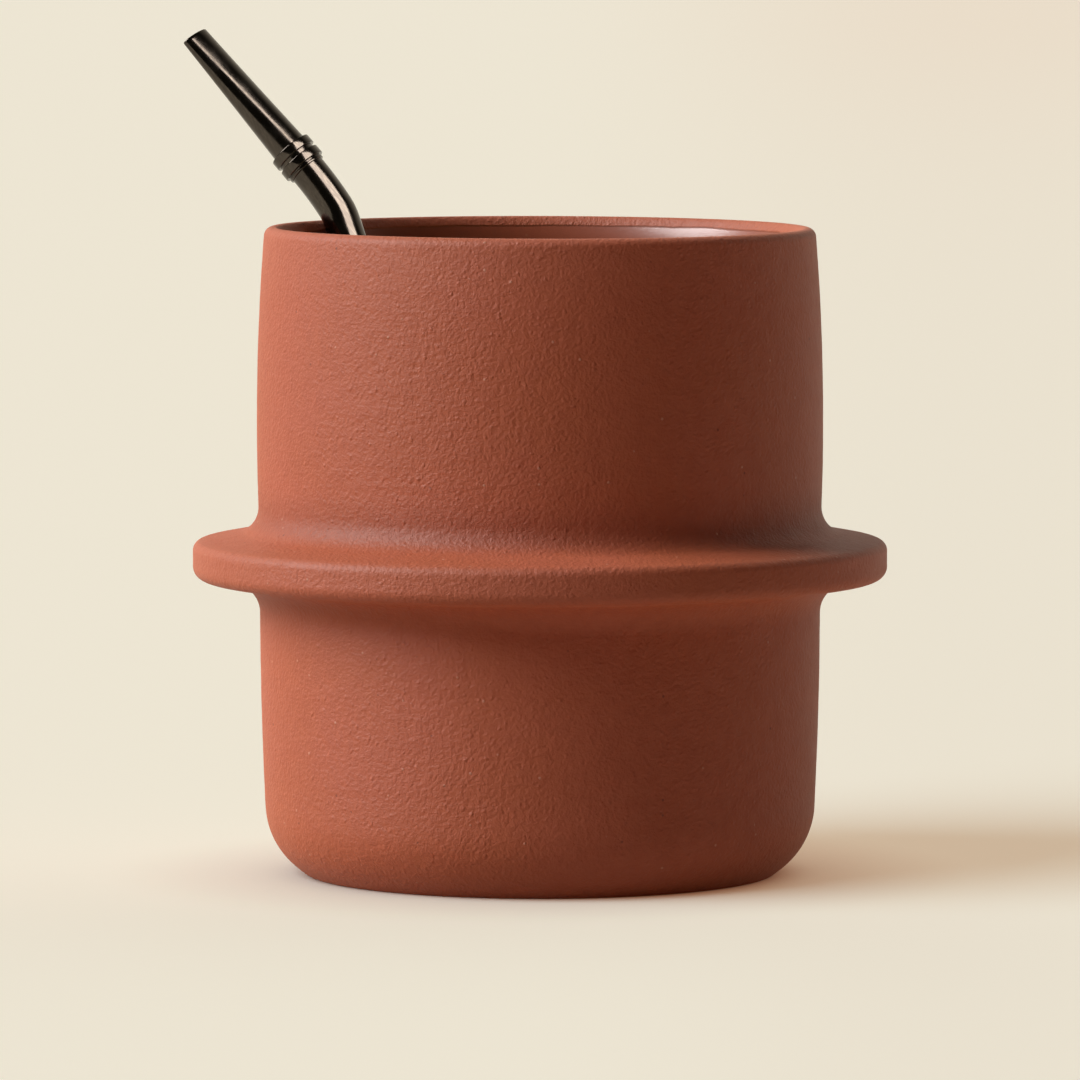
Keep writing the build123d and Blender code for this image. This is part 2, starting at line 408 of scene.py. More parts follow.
def clay_material():
    """Bare red clay outside and the same clay under clear glaze inside."""
    material, net = start_material("red_clay")
    place = net.place()
    parts = net.split(place)
    x, y, z = parts, parts.out("Y"), parts.out("Z")
    radius = (x * x + y * y) ** 0.5
    inside = (radius < INSIDE_RADIUS * MM) * (radius < z + INSIDE_CONE * MM)
    inside = inside * (z > INSIDE_FLOOR * MM)
    glaze_edge = CUP_HEIGHT - GLAZE_EDGE + (net.noise(place, 120.0) - 0.5) * 0.5
    glazed = inside * (1 - net.step(z / MM, glaze_edge - 0.25, glaze_edge + 0.1))
    broad = net.noise(place, 38.0, 3.0)
    mottle = net.noise(place, 480.0, 3.0, 0.6)
    grain = net.noise(place, 1700.0, 2.5, 0.6)
    base = net.blend(net.step(broad, 0.36, 0.66), shade(189, 98, 61), shade(192, 101, 69))
    base = net.blend(net.step(mottle, 0.35, 0.7) * 0.2, base, shade(172, 84, 56))
    # the ring's rim and the upper wall up to the lip are made a little paler
    rim = net.step(radius, RING_RADIUS * MM - 2.2 * MM, RING_RADIUS * MM)
    lip = net.step(z, (CUP_HEIGHT - 12.0) * MM, (CUP_HEIGHT - 0.2) * MM)
    base = net.blend(rim.larger(lip) * 0.22, base, shade(203, 121, 92))
    # painted shade: the foot is darkened where the cup meets the table, and so is the corner over
    # the ring where the ring shades the wall
    foot = 1 - net.step(z, 0.5 * MM, 7.0 * MM)
    corner = net.step(z, 49.0 * MM, 51.5 * MM) * (1 - net.step(z, 51.5 * MM, 58.0 * MM))
    corner = corner * (radius < 45.0 * MM)
    base = net.blend(foot * 0.15 + corner * 0.3, base, shade(120, 56, 36))
    grit = net.cells(place, 520.0)
    grit_kind = net.kind(grit)
    grit_spot = 1 - net.step(grit, 0.05, 0.14)
    pale_grit = grit_spot * (grit_kind > 0.86)
    dark_grit = grit_spot * (grit_kind < 0.05)
    base = net.blend(pale_grit * 0.5, base, shade(226, 176, 150))
    base = net.blend(dark_grit * 0.6, base, shade(92, 44, 32))
    base = net.blend(glazed * 0.75, base, shade(160, 80, 52))
    rough = 0.62 + (mottle - 0.5) * 0.15
    rough = rough * (1 - glazed) + glazed * 0.3
    lines = net.noise(place * (0.05, 0.05, 1.0), 900.0, 2.0)
    pits = net.cells(place, 700.0)
    sand = net.cells(place, 1050.0)
    sand_lump = (1 - net.step(sand, 0.0, 0.42)) * net.step(net.kind(sand), 0.35, 1.0)
    height = grain * 0.19 + mottle * 0.12 + lines * 0.03 + net.step(pits, 0.04, 0.25) * 0.03
    height = height + sand_lump * 0.075 + pale_grit * 0.05
    height = height * (1 - glazed * 0.9)
    net.surface({
        "Base Color": base,
        "Roughness": rough,
        "Diffuse Roughness": 0.6,
        "Specular IOR Level": 0.6,
        "Coat Weight": glazed * 0.75,
        "Coat Roughness": 0.5,
        "Coat IOR": 1.5,
        "Normal": net.bump(height * MM),
    })
    return material


clay = clay_material()
outline = cup_outline()
turning = Inputs("turning")
turning.number("Steps round", TURNING_STEPS, "NodeSocketInt")
turning.number("Outline points", len(outline), "NodeSocketInt")
turning.number("Out of round", 0.05 * MM)
turning.number("Throwing lines", 0.09 * MM)
turning.number("Lip tilt", 0.09 * MM)
given = turning.open()
net = turning.net
steps, count = given.out("Steps round"), given.out("Outline points")
grid = net.add("GeometryNodeMeshGrid", {}, {"Vertices X": steps + 1, "Vertices Y": count})
index = net.add("GeometryNodeInputIndex")
drawn = net.add(
    "GeometryNodeSampleIndex",
    {"data_type": "FLOAT_VECTOR"},
    {"Geometry": given, "Value": net.add("GeometryNodeInputPosition"), "Index": index % count},
)
reach = net.split(drawn)
rise = reach.out("Z")
angle = (index / count).floor() / steps * (2 * math.pi)
hand = net.noise(
    net.join(angle.cos() * 0.8, angle.sin() * 0.8, rise / (THROWING_PITCH * MM)), 1.0
)
steady = net.step(reach, 2 * MM, 25 * MM)
uneven = given.out("Out of round") * (angle * 2 + 0.8).cos()
uneven = uneven + given.out("Throwing lines") * (hand - 0.5)
turned_radius = reach + uneven * steady
turned_height = rise - given.out("Lip tilt") * (angle - 0.3).cos() * (rise / CUP_HIGH.z) ** 6
turned = net.join(turned_radius * angle.cos(), turned_radius * angle.sin(), turned_height)
shaped = net.add("GeometryNodeSetPosition", {}, {"Geometry": grid, "Position": turned})
joined = net.add("GeometryNodeMergeByDistance", {}, {"Geometry": shaped, "Distance": SEAM})
smooth = net.add("GeometryNodeSetShadeSmooth", {}, {"Geometry": joined})
turning.close(smooth, clay)
cup = make_piece(
    "clay_cup",
    [(radius, 0, height) for radius, height in outline],
    [(point, point + 1) for point in range(len(outline) - 1)],
)
turned_outwards(turning.grow(cup))
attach(cup, "root")
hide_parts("cup")

# ---- The leaf -----------------------------------------------------------------------------
# Yerba mate: dried leaf chopped to flakes and dust, with cut stems, poured in and tilted to a
# heap away from the straw. It is dry and dusty at the top of the heap and soaked by the pool.
# The bed is a core in relief, under loose flakes and stems at their true size.

HEAP_DIRECTION = math.radians(-34.0)
LEAF_LOW = 74.0
LEAF_HIGH = 85.4
LEAF_SLOPE = (-27.0, 24.0)   # where the slope starts and ends, along the heap's direction
LEAF_WAVE = 0.45
LEAF_WAVE_LENGTH = 21.0
BED_DROP = 0.9               # the core lies this far under the loose leaf's surface
BED_RINGS = 76
BED_SPOKES = 180
BED_LUMPS = 70
BED_LUMP_WIDTH = 3.0
BED_LUMP_REACH = 30.0        # the lumps lie within this of the axis, along X and along Y
PATCH_RINGS = 24             # of the sheets that loose leaf is scattered on
PATCH_SPOKES = 72
PATCH_DROP = 0.45
POOL_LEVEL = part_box("infusion")[1].z / MM
HEAP = (math.cos(HEAP_DIRECTION), math.sin(HEAP_DIRECTION), 0.0)
SHARP_EDGE = math.radians(40)


def leaf_height(x, y):
    """Height of the leaf's surface at a place in the cup."""
    along = x * HEAP[0] + y * HEAP[1]
    across = y * HEAP[0] - x * HEAP[1]
    share = np.clip((along - LEAF_SLOPE[0]) / (LEAF_SLOPE[1] - LEAF_SLOPE[0]), 0, 1)
    rise = share * share * (3 - 2 * share)
    turn = 2 * math.pi / LEAF_WAVE_LENGTH
    wave = LEAF_WAVE * (np.sin(along * turn + 1.0) + np.cos(across * turn * 0.8))
    return LEAF_LOW + (LEAF_HIGH - LEAF_LOW) * rise + wave


def disc_faces(rings, spokes):
    """Faces of a disc whose first point is its middle, ring after ring."""
    faces = [(0, 1 + s, 1 + (s + 1) % spokes) for s in range(spokes)]
    for ring in range(rings - 1):
        for s in range(spokes):
            a, b = 1 + ring * spokes + s, 1 + ring * spokes + (s + 1) % spokes
            faces.append((a, a + spokes, b + spokes, b))
    return faces


def disc_points(radii, spokes, height):
    """Points of a disc at the given radii, each at the height that a function gives."""
    points = [(0.0, 0.0, height(0.0, 0.0))]
    for radius in radii:
        for s in range(spokes):
            turn = 2 * math.pi * s / spokes
            x, y = radius * math.cos(turn), radius * math.sin(turn)
            points.append((x, y, height(x, y)))
    return np.array(points)


def leaf_material(name, dry, wet, pale, bump_height):
    """Chopped leaf, dusty where dry and dark where the infusion has soaked it."""
    material, net = start_material(name)
    place = net.place()
    height = net.split(place).out("Z") / MM
    ragged = (net.noise(place, 160.0, 3.0) - 0.5) * 4.0
    dryness = net.step(height + ragged, POOL_LEVEL - 0.3, POOL_LEVEL + 3.6)
    tone = net.add("ShaderNodeAttribute", {"attribute_name": "tone"}).out("Fac")
    speck = net.noise(place, 900.0, 3.0, 0.6)
    colour = net.blend(dryness, wet[0], dry[0])
    darker = net.blend(dryness, wet[1], dry[1])
    colour = net.blend(net.step(tone, 0.1, 0.9), colour, darker)
    colour = net.blend(net.step(tone, 0.86, 0.93) * 0.8, colour, pale)
    colour = net.blend(net.step(speck, 0.45, 0.75) * 0.35, colour, darker)
    net.surface({
        "Base Color": colour,
        "Roughness": 0.32 + dryness * 0.5,
        "Normal": net.bump(net.noise(place, 2400.0, 3.0) * (bump_height * MM)),
    })
    return material


leaf_skin = leaf_material(
    "chopped_leaf",
    (shade(158, 152, 92), shade(112, 112, 60)),
    (shade(92, 88, 38), shade(58, 56, 24)),
    shade(196, 180, 122),
    0.05,
)
stem_skin = leaf_material(
    "leaf_stems",
    (shade(190, 166, 108), shade(160, 134, 82)),
    (shade(126, 104, 56), shade(96, 76, 38)),
    shade(206, 188, 136),
    0.04,
)

reach_of_bed = bore_radius(POOL_LEVEL) + 0.25
rng = np.random.default_rng(31)
bumps = rng.uniform(-1, 1, (BED_LUMPS, 3)) * (BED_LUMP_REACH, BED_LUMP_REACH, 1)


def bed_relief(x, y):
    """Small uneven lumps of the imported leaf."""
    lumps = 0.0
    for bx, by, lift in bumps:
        away = ((x - bx) ** 2 + (y - by) ** 2) / (2 * BED_LUMP_WIDTH**2)
        lumps += 0.7 * lift * math.exp(-away)
    return lumps


bed_radii = np.linspace(reach_of_bed / BED_RINGS, reach_of_bed, BED_RINGS)
bed = disc_points(
    bed_radii, BED_SPOKES, lambda x, y: leaf_height(x, y) - BED_DROP + bed_relief(x, y)
)
rounds = [bed]
# rounds down the hidden wall of the bed, with how far each stands in from the cup
walls = ((60.0, 0.0), (40.0, 0.0), (20.0, 0.0), (12.0, 1.0), (BORE_LOW[1], 6.0))
for height, inset in walls:
    radius = bore_radius(height) + 0.2 - inset
    rounds.append(disc_points([radius], BED_SPOKES, lambda x, y: height)[1:])
faces = disc_faces(BED_RINGS + len(walls), BED_SPOKES)
points = np.vstack([*rounds, [(0, 0, BORE_LOW[1])]])
last = 1 + (BED_RINGS + len(walls) - 1) * BED_SPOKES
faces += [
    (last + s, len(points) - 1, last + (s + 1) % BED_SPOKES) for s in range(BED_SPOKES)
]
leaf_bed = make_piece("leaf_bed", points * MM, (), faces)
leaf_bed.data.materials.append(leaf_skin)
leaf_bed.data.shade_smooth()
turned_outwards(leaf_bed)
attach(leaf_bed, "root")
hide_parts("yerba_leaf")


def scatter(name, shape, material, density, low_size, high_size, tilt, sink, seed, roughen):
    """Loose bits of one kind, lying every way on the piece that the tree is run on."""
    tree = Inputs(name)
    tree.number("Bits per square metre", density)
    tree.number("Smallest", low_size, "NodeSocketVector")
    tree.number("Largest", high_size, "NodeSocketVector")
    tree.number("Tilt", tilt)
    tree.number("Seed", seed, "NodeSocketInt")
    given = tree.open()
    net = tree.net
    spots = net.add(
        "GeometryNodeDistributePointsOnFaces",
        {},
        {"Mesh": given, "Density": given.out("Bits per square metre"), "Seed": given.out("Seed")},
    )

    def chance(kind, low, high, offset):
        """A random value for each bit."""
        node = net.add(
            "FunctionNodeRandomValue",
            {"data_type": kind},
            {"Seed": given.out("Seed") + offset},
        ).socket.node
        vector = kind == "FLOAT_VECTOR"
        for value, slot in ((low, 0 if vector else 2), (high, 1 if vector else 3)):
            if isinstance(value, Flow):
                net.tree.links.new(value.socket, node.inputs[slot])
            else:
                node.inputs[slot].default_value = value
        return Flow(net, node.outputs[0 if vector else 1])

    lean = given.out("Tilt")
    lean_low = net.join(lean * -1, lean * -1, 0.0)
    lean_high = net.join(lean, lean, 2 * math.pi)
    turn = net.add(
        "FunctionNodeRotateRotation",
        {"rotation_space": "LOCAL"},
        {
            "Rotation": spots.out("Rotation"),
            "Rotate By": chance("FLOAT_VECTOR", lean_low, lean_high, 1),
        },
    )
    laid = net.add(
        "GeometryNodeInstanceOnPoints",
        {},
        {
            "Points": spots,
            "Instance": shape(net),
            "Rotation": turn,
            "Scale": chance("FLOAT_VECTOR", given.out("Smallest"), given.out("Largest"), 2),
        },
    )
    toned = net.add(
        "GeometryNodeStoreNamedAttribute",
        {"data_type": "FLOAT", "domain": "INSTANCE"},
        {"Geometry": laid, "Name": "tone", "Value": chance("FLOAT", 0.0, 1.0, 3)},
    )
    lifted = net.add(
        "GeometryNodeTranslateInstances",
        {},
        {
            "Instances": toned,
            "Translation": net.join(0.0, 0.0, chance("FLOAT", -sink, sink, 4)),
            "Local Space": False,
        },
    )
    real = net.add("GeometryNodeRealizeInstances", {}, {"Geometry": lifted})
    jitter = net.noise(net.add("GeometryNodeInputPosition"), 1400.0, 1.0).out("Color")
    parts = net.add("FunctionNodeSeparateColor", {}, {"Color": jitter})
    offset = (net.join(parts, parts.out("Green"), parts.out("Blue")) - 0.5) * roughen
    ragged = net.add("GeometryNodeSetPosition", {}, {"Geometry": real, "Offset": offset})
    tree.close(ragged, material)
    return tree


def flake_shape(net):
    """A flat many-sided chip, one metre across before it is scaled."""
    return net.add("GeometryNodeMeshIcoSphere", {}, {"Radius": 0.5, "Subdivisions": 1})


def stem_shape(net):
    """A short round stick along X, one metre long and one thick before it is scaled."""
    stick = net.add(
        "GeometryNodeMeshCylinder",
        {},
        {"Vertices": 9, "Side Segments": 5, "Radius": 0.5, "Depth": 1.0},
    )
    return net.add(
        "GeometryNodeTransform", {}, {"Geometry": stick, "Rotation": (0.0, math.pi / 2, 0.0)}
    )


def turned_up(piece):
    """Makes sure that an open sheet's faces look up."""
    if sum(face.normal.z for face in piece.data.polygons) < 0:
        piece.data.flip_normals()
    return piece


def leaf_patch(name, margin, lowest):
    """The part of the leaf's surface that stands at or above a height, to scatter bits on."""
    radii = np.linspace(1.5, bore_radius(POOL_LEVEL) - margin, PATCH_RINGS)
    points = disc_points(
        radii, PATCH_SPOKES, lambda x, y: leaf_height(x, y) - PATCH_DROP + bed_relief(x, y)
    )
    faces = [
        face
        for face in disc_faces(PATCH_RINGS, PATCH_SPOKES)
        if max(points[p][2] for p in face) > lowest
    ]
    return turned_up(make_piece(name, points * MM, (), faces))


flakes = leaf_patch("leaf_flakes", 0.9, POOL_LEVEL - 1.2)
flake_tree = scatter(
    "flakes", flake_shape, leaf_skin, density=2.3e6,
    low_size=(0.7 * MM, 0.45 * MM, 0.12 * MM), high_size=(2.5 * MM, 1.5 * MM, 0.34 * MM),
    tilt=math.radians(38), sink=0.35 * MM, seed=5, roughen=0.5 * MM,
)
flake_tree.grow(flakes)
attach(flakes, "root")

stems = leaf_patch("leaf_stems", 3.6, POOL_LEVEL - 0.6)
stem_tree = scatter(
    "stems", stem_shape, stem_skin, density=5.2e4,
    low_size=(2.4 * MM, 0.45 * MM, 0.45 * MM), high_size=(7.5 * MM, 1.2 * MM, 1.2 * MM),
    tilt=math.radians(13), sink=0.25 * MM, seed=12, roughen=0.3 * MM,
)
stem_tree.grow(stems)
stems.data.shade_smooth()
stems.data.set_sharp_from_angle(angle=SHARP_EDGE)
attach(stems, "root")

# ---- The infusion -------------------------------------------------------------------------
# Hot water that has drawn through the leaf: murky green-brown, standing on the low side, with
# a rim that climbs the glaze and the straw, and a froth of fine bubbles where it was poured.

STRAW_FOOT = (2.4, 0.05, 6.0)
STRAW_TURN = math.radians(-6.8)
STRAW_LEAN_BACK = math.radians(9.8)
TUBE_ANGLE = math.radians(20.6)
TUBE_RADIUS = 2.68
CLIMB = 0.8                  # how far the liquid climbs a wall
CLIMB_WIDTH = 1.1
POOL_RINGS = 44              # up to where the climb at the wall begins
POOL_SPOKES = 160
POOL_DEPTH = 3.0             # how far the pool goes on under the leaf's lowest part
FROTH_REACH = 10.0           # how far the froth spreads from the straw
FROTH_RINGS = 60
FROTH_SPOKES = 240

LEVEL = np.array([math.cos(STRAW_TURN), math.sin(STRAW_TURN), 0.0])
BACK = np.array([-math.sin(STRAW_TURN), math.cos(STRAW_TURN), 0.0])
UP = np.array([0.0, 0.0, 1.0])
UPRIGHT = UP * math.cos(STRAW_LEAN_BACK) + BACK * math.sin(STRAW_LEAN_BACK)


def along_straw(angle):
    """The straw's direction at an angle from its own upright."""
    return UPRIGHT * math.cos(angle) - LEVEL * math.sin(angle)


slope = along_straw(TUBE_ANGLE)
dip = np.array(STRAW_FOOT) + slope * (POOL_LEVEL - STRAW_FOOT[2]) / slope[2]


def pool_height(x, y):
    """Height of the liquid, which climbs a little at the cup and at the straw."""
    to_wall = bore_radius(POOL_LEVEL) - math.hypot(x, y)
    to_straw = max(0.0, math.hypot(x - dip[0], y - dip[1]) - TUBE_RADIUS)
    climb = math.exp(-max(0.0, to_wall) / CLIMB_WIDTH) + 0.7 * math.exp(-to_straw / CLIMB_WIDTH)
    return POOL_LEVEL + CLIMB * climb


def infusion_material():
    """Murky green-brown liquid, darker where it is deep."""
    material, net = start_material("mate_infusion")
    place = net.place()
    along = net.add(
        "ShaderNodeVectorMath", {"operation": "DOT_PRODUCT"}, {0: place, 1: HEAP}
    ).out("Value")
    shallow = net.step(along, -24 * MM, 2 * MM)
    cloud = net.noise(place, 130.0, 3.0)
    colour = net.blend(shallow, shade(92, 84, 30), shade(128, 118, 52))
    colour = net.blend(net.step(cloud, 0.4, 0.7) * 0.4, colour, shade(146, 138, 72))
    net.surface({"Base Color": colour, "Roughness": 0.06, "IOR": 1.333, "Coat Weight": 0.3})
    return material


pool_skin = infusion_material()
pool_wall = bore_radius(POOL_LEVEL) + 0.12
near_wall = pool_wall - np.array([6.0, 4.0, 2.8, 2.0, 1.4, 0.9, 0.55, 0.3, 0.12, 0.0])
pool_radii = np.concatenate([np.linspace(1.0, pool_wall - 7.5, POOL_RINGS), near_wall])
pool_top = disc_points(pool_radii, POOL_SPOKES, pool_height)
pool_low = disc_points(pool_radii[-1:], POOL_SPOKES, lambda x, y: LEAF_LOW - POOL_DEPTH)
pool_points = np.vstack([pool_top, pool_low[1:], pool_low[:1]])
pool_faces = disc_faces(len(pool_radii) + 1, POOL_SPOKES)
last = 1 + len(pool_radii) * POOL_SPOKES
pool_faces += [
    (last + s, last + POOL_SPOKES, last + (s + 1) % POOL_SPOKES) for s in range(POOL_SPOKES)
]
pool = make_piece("infusion_pool", pool_points * MM, (), pool_faces)
pool.data.materials.append(pool_skin)
pool.data.shade_smooth()
turned_outwards(pool)
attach(pool, "root")
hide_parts("infusion")


def bubble_shape(net):
    """A bubble's dome of film, one metre across before it is scaled."""
    return net.add("GeometryNodeMeshIcoSphere", {}, {"Radius": 0.5, "Subdivisions": 2})


def froth_material():
    """Pale thin film with the infusion's colour showing through."""
    material, net = start_material("froth")
    tone = net.add("ShaderNodeAttribute", {"attribute_name": "tone"}).out("Fac")
    colour = net.blend(tone, shade(178, 170, 112), shade(228, 223, 186))
    alpha = 0.7 + tone * 0.3
    net.surface({"Base Color": colour, "Roughness": 0.12, "IOR": 1.333, "Alpha": alpha})
    return material


def froth_lies(x, y):
    """Whether froth lies at a place: in drifts by the straw and against the cup."""
    to_straw = math.hypot(x - dip[0], y - dip[1])
    drift = math.sin(x * 0.55 + 1.0) + math.cos(y * 0.47) + math.sin((x + y) * 0.9)
    by_straw = TUBE_RADIUS + 0.6 < to_straw < FROTH_REACH + 2.2 * drift
    by_wall = math.hypot(x, y) > bore_radius(POOL_LEVEL) - 1.6 - 0.8 * drift
    return (by_straw or by_wall) and leaf_height(x, y) < POOL_LEVEL - 1.0


froth_radii = np.linspace(1.0, bore_radius(POOL_LEVEL) - 0.9, FROTH_RINGS)
froth_points = disc_points(froth_radii, FROTH_SPOKES, pool_height)
froth_faces = [
    face
    for face in disc_faces(FROTH_RINGS, FROTH_SPOKES)
    if all(froth_lies(froth_points[p][0], froth_points[p][1]) for p in face)
]
froth = turned_up(make_piece("froth_bubbles", froth_points * MM, (), froth_faces))
froth_tree = scatter(
    "bubbles", bubble_shape, froth_material(), density=3.6e6,
    low_size=(0.3 * MM, 0.3 * MM, 0.3 * MM), high_size=(0.95 * MM, 0.95 * MM, 0.8 * MM),
    tilt=math.radians(10), sink=0.08 * MM, seed=8, roughen=0.0,
)
froth_tree.grow(froth)
froth.data.shade_smooth()
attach(froth, "root")

# ---- The straw ----------------------------------------------------------------------------
# A metal drinking straw in polished black steel: a round tube bent twice above the lip, a
# turned collar of two rings, a mouthpiece pressed to an oval, and a perforated bulb below.

STRAIGHT_END = 95.25
TUBE_START = 19.0
MOUTH_ANGLE = math.radians(41.2)
TIGHT_BEND_RADIUS = 9.0
TIGHT_BEND_TURN = math.radians(13.4)
TIGHT_BEND_STEPS = 14
EASY_BEND_RADIUS = 55.0
EASY_BEND_STEPS = 12
TUBE_WALL = 0.45
TUBE_SIDES = 72


def steel_material():
    """Polished blackened steel with fine marks of its polishing along it."""
    material, net = start_material("black_steel")
    place = net.place()
    turned = net.add(
        "ShaderNodeMapping", {}, {"Vector": place, "Rotation": (0.0, math.radians(38), 0.0)}
    )
    streaks = net.noise(turned * (1.0, 1.0, 0.06), 5200.0, 2.0)
    smudge = net.noise(place, 260.0, 3.0)
    colour = net.blend(net.step(streaks, 0.4, 0.7), shade(76, 70, 65), shade(90, 83, 76))
    net.surface({
        "Base Color": colour,
        "Metallic": 1.0,
        "Roughness": 0.13 + net.step(smudge, 0.4, 0.8) * 0.09,
        "Normal": net.bump(streaks * (0.0016 * MM)),
    })
    return material


steel = steel_material()


def straw_line():
    """Points along the tube's centre line, to its end in the collar."""
    place = np.array(STRAW_FOOT) + along_straw(TUBE_ANGLE) * TUBE_START
    line = [place]
    place = np.array(STRAW_FOOT) + along_straw(TUBE_ANGLE) * STRAIGHT_END
    angle = TUBE_ANGLE
    easy_turn = MOUTH_ANGLE - TUBE_ANGLE - TIGHT_BEND_TURN
    line.append(place)
    bends = (
        (TIGHT_BEND_RADIUS, TIGHT_BEND_TURN, TIGHT_BEND_STEPS),
        (EASY_BEND_RADIUS, easy_turn, EASY_BEND_STEPS),
    )
    for radius, turn, count in bends:
        for _ in range(count):
            middle = angle + turn / count / 2
            chord = 2 * radius * math.sin(turn / count / 2)
            place = place + along_straw(middle) * chord
            angle += turn / count
            line.append(place)
    return np.array(line)


line = straw_line()
sweeping = Inputs("tube_along_line")
sweeping.number("Tube radius", TUBE_RADIUS * MM)
sweeping.number("Sides", TUBE_SIDES, "NodeSocketInt")
given = sweeping.open()
net = sweeping.net
route = net.add("GeometryNodeMeshToCurve", {}, {"Mesh": given})
rim = net.add(
    "GeometryNodeCurvePrimitiveCircle",
    {},
    {"Resolution": given.out("Sides"), "Radius": given.out("Tube radius")},
)
swept = net.add(
    "GeometryNodeCurveToMesh", {}, {"Curve": route, "Profile Curve": rim, "Fill Caps": True}
)
sweeping.close(net.add("GeometryNodeSetShadeSmooth", {}, {"Geometry": swept}), steel)
tube = make_piece(
    "straw_pipe", line * MM, [(point, point + 1) for point in range(len(line) - 1)]
)
turned_outwards(sweeping.grow(tube))
tube.data.set_sharp_from_angle(angle=SHARP_EDGE)
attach(tube, "root")
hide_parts("straw_tube")


HEADING = along_straw(MOUTH_ANGLE)
FACING = np.cross(LEVEL, UPRIGHT)
SIDEWAYS = np.cross(HEADING, FACING)
COLLAR_START = line[-1]
ROUND_SIDES = 96
TURNED_EDGE = math.radians(28)


def loop_across(height, half_width, half_thickness, turn=0.0):
    """An oval across the straw's end, at a height above the collar's start."""
    angles = np.arange(ROUND_SIDES) / ROUND_SIDES * 2 * math.pi
    wide = FACING * math.cos(turn) + SIDEWAYS * math.sin(turn)
    thick = SIDEWAYS * math.cos(turn) - FACING * math.sin(turn)
    middle = COLLAR_START + HEADING * height
    return (
        middle
        + np.outer(np.cos(angles) * half_width, wide)
        + np.outer(np.sin(angles) * half_thickness, thick)
    )


def skinned(name, loops):
    """A closed ring of skin through loops of points, from the first round to the first again."""
    faces = []
    for index in range(len(loops)):
        here, there = index * ROUND_SIDES, (index + 1) % len(loops) * ROUND_SIDES
        for s in range(ROUND_SIDES):
            t = (s + 1) % ROUND_SIDES
            faces.append((here + s, here + t, there + t, there + s))
    piece = make_piece(name, np.vstack(loops) * MM, (), faces)
    piece.data.shade_smooth()
    piece.data.set_sharp_from_angle(angle=TURNED_EDGE)
    piece.data.materials.append(steel)
    return turned_outwards(piece)


def ring_edges(start, length, radius, ease):
    """Heights and radii of a turned ring with eased edges."""
    angles = np.linspace(0, math.pi / 2, EDGE_POINTS)[::-1]
    low = [
        (start + ease * (1 - math.sin(a)), radius - ease * (1 - math.cos(a))) for a in angles
    ]
    high = [(start + length - h + start, r) for h, r in low[::-1]]
    return low + high


BEAD = (0.42, 2.95)          # length and radius of each turned step
NICK = (0.2, 2.8)
COLLAR_RING = (1.4, 3.32)
NECK = (0.62, 2.88)
EDGE_EASE = 0.12
EDGE_POINTS = 5              # of each eased edge
BORE = TUBE_RADIUS - TUBE_WALL

profile = ring_edges(0.0, BEAD[0], BEAD[1], EDGE_EASE)
after_nick = BEAD[0] + NICK[0]
profile += [(BEAD[0], NICK[1]), (after_nick, NICK[1])]
profile += ring_edges(after_nick, COLLAR_RING[0], COLLAR_RING[1], EDGE_EASE)
neck_start = after_nick + COLLAR_RING[0]
mouth_start = neck_start + NECK[0]
profile += [(neck_start, NECK[1]), (mouth_start, NECK[1])]
profile += [(mouth_start, BORE), (0.0, BORE)]
collar = skinned("straw_collar_turned", [loop_across(h, r, r) for h, r in profile])
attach(collar, "root")
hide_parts("straw_collar")

MOUTH_LENGTH = 22.2
MOUTH_RADIUS = 2.72
MOUTH_TIP = (2.34, 1.22)
MOUTH_TURN = math.radians(-47.0)
TIP_EASE = 0.2
TIP_LOOPS = 6                # round the tip's eased edge
TAPER_LOOPS = 60

mouth_ring = ring_edges(mouth_start, COLLAR_RING[0], COLLAR_RING[1], EDGE_EASE)
mouth_loops = [loop_across(h, r, r) for h, r in mouth_ring]
taper_start = mouth_start + COLLAR_RING[0]


def mouth_loop(share, inset, lift=0.0):
    """A loop of the taper, from round at share 0 to the oval tip at share 1."""
    half_width = MOUTH_RADIUS + (MOUTH_TIP[0] - MOUTH_RADIUS) * share - inset
    half_thickness = MOUTH_RADIUS + (MOUTH_TIP[1] - MOUTH_RADIUS) * share - inset
    height = taper_start + MOUTH_LENGTH * share + lift
    return loop_across(height, half_width, half_thickness, MOUTH_TURN)


taper = np.linspace(0, 1 - TIP_EASE / MOUTH_LENGTH, TAPER_LOOPS)
mouth_loops += [mouth_loop(share, 0.0) for share in taper]
for angle in np.linspace(0, math.pi / 2, TIP_LOOPS)[1:]:
    mouth_loops.append(
        mouth_loop(1.0, TIP_EASE * (1 - math.cos(angle)), TIP_EASE * (math.sin(angle) - 1))
    )
mouth_loops += [mouth_loop(share, TUBE_WALL) for share in (1.0, 0.98, 0.75, 0.5, 0.25, 0.0)]
mouth_loops.append(loop_across(mouth_start, BORE, BORE))
mouthpiece = skinned("straw_mouth", mouth_loops)
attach(mouthpiece, "root")
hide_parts("straw_mouthpiece")

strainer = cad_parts["straw_strainer"]
strainer.data.materials.clear()
strainer.data.materials.append(steel)

# ---- The table, the light and the camera ---------------------------------------------------
# A wide pale cream surface, a large soft lamp from the left that throws the shadow to the
# right, a dim room in front and a pale wall behind, and a long lens from a little above.

FLOOR_REACH = 14.0           # metres
FLOOR_DROP = 0.00002
CREAM = shade(237, 230, 212)
PAPER = (0.493, 0.645, 0.66, 1.0)
PAPER_BOUNCE = (0.57, 0.405, 0.295, 1.0)
WALL_TINT = (1.0, 0.78, 0.62, 1.0)
ROOM_TINT = (0.032, 0.0155, 0.0105, 1.0)
ROOM_MIRRORED = (0.03, 0.027, 0.02, 1.0)
CONTACT_REACH = 0.025        # metres from the cup at which the table's glow is whole
KEY_SIZE = math.radians(41)
TABLE_KEY_SIZE = math.radians(48)
CAMERA_BACK = 1.3            # metres
CAMERA_HEIGHT = 0.15017
CAMERA_DIP = 4.482           # degrees below level
CAMERA_LENS = 300.24


